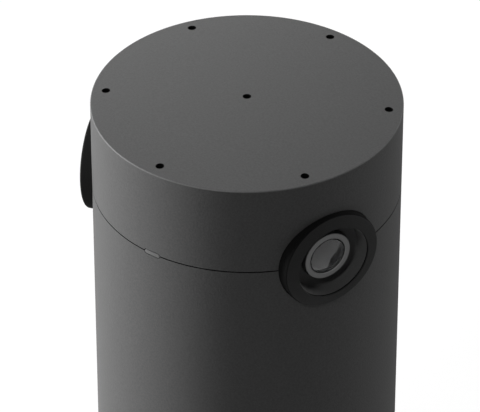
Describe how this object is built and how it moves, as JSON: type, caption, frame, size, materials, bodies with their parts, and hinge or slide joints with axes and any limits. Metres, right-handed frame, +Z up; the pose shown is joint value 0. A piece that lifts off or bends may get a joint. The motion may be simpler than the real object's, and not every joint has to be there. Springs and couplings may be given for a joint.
{
  "type": "conference camera",
  "caption": "Round tabletop conference camera tower with a wide-angle camera on each side, a domed microphone cover and a cable bay in its base.",
  "frame": {"origin": "centre of the base, on the table", "axes": "+Z up along the tower's axis, -Y out of the front where the status light is, +X towards the right camera as seen from the front"},
  "size_m": [0.1024, 0.095, 0.2816],
  "materials": {
    "graphite_plastic": "fine spark-eroded texture, matte",
    "bezel_plastic": "fine matte, near black",
    "lens_trim_metal": "satin anodised grey",
    "barrel_metal": "matte black anodised",
    "lens_glass": "polished, coated",
    "seal_foam": "soft foam",
    "rubber": "moulded matte rubber",
    "circuit_board": "solder mask",
    "chip": "moulded package",
    "connector_plastic": "moulded",
    "light_guide": "milky translucent",
    "cast_aluminium": "bead blasted casting",
    "ballast_steel": "zinc plated",
    "screw_steel": "zinc plated",
    "insert_brass": "turned",
    "contact_gold": "gold plated",
    "jack_shell": "plated sheet",
    "thermal_pad": "soft filled silicone",
    "acoustic_mesh": "woven mesh",
    "cable_jacket": "thin cable jacket"
  },
  "bodies": {
    "root": {"top_cover": "graphite_plastic", "body_sleeve": "graphite_plastic", "base_plate": "bezel_plastic", "rubber_foot": "rubber", "base_screws": "screw_steel", "threaded_insert": "insert_brass", "ballast_plate": "ballast_steel", "chassis_spine": "cast_aluminium", "camera_carrier": "cast_aluminium", "carrier_screws": "screw_steel", "chassis_screws": "screw_steel", "cover_screws": "screw_steel", "sensor_board_screws": "screw_steel", "microphone_board": "circuit_board", "microphones": "jack_shell", "microphone_gaskets": "rubber", "microphone_meshes": "acoustic_mesh", "microphone_board_screws": "screw_steel", "status_light_pipe": "light_guide", "status_led_board": "circuit_board", "status_led": "light_guide", "main_board": "circuit_board", "main_board_screws": "screw_steel", "processor": "chip", "thermal_pad": "thermal_pad", "memory_chips": "chip", "power_module": "chip", "cable_connectors": "connector_plastic", "microphone_cable": "cable_jacket", "status_light_cable": "cable_jacket", "port_cable": "cable_jacket", "port_board": "circuit_board", "port_board_screws": "screw_steel", "network_jack": "jack_shell", "network_contacts": "contact_gold", "usb_c_receptacle": "jack_shell", "reset_switch": "chip", "camera_bezel_left": "bezel_plastic", "lens_trim_ring_left": "lens_trim_metal", "lens_barrel_left": "barrel_metal", "lens_dome_left": "lens_glass", "rear_lens_left": "lens_glass", "lens_seal_left": "seal_foam", "lens_mount_left": "barrel_metal", "image_sensor_left": "chip", "sensor_board_left": "circuit_board", "camera_cable_left": "cable_jacket", "camera_bezel_right": "bezel_plastic", "lens_trim_ring_right": "lens_trim_metal", "lens_barrel_right": "barrel_metal", "lens_dome_right": "lens_glass", "rear_lens_right": "lens_glass", "lens_seal_right": "seal_foam", "lens_mount_right": "barrel_metal", "image_sensor_right": "chip", "sensor_board_right": "circuit_board", "camera_cable_right": "cable_jacket"},
    "reset_button_body": {"reset_button": "bezel_plastic"},
    "reset_plunger_body": {"reset_switch_plunger": "chip"}
  },
  "joints": [
    {"name": "reset_button_press", "type": "slide", "parent": "root", "child": "reset_button_body", "axis": [0, -1, 0], "range_m": [0, 0.0005], "stiffness_N_per_m": 2000, "springref_m": -0.0005},
    {"name": "reset_plunger_press", "type": "slide", "parent": "root", "child": "reset_plunger_body", "axis": [0, -1, 0], "range_m": [0, 0.0005]}
  ],
  "couplings": [
    {"joint": "reset_plunger_press", "follows": "reset_button_press", "ratio": 1}
  ]
}
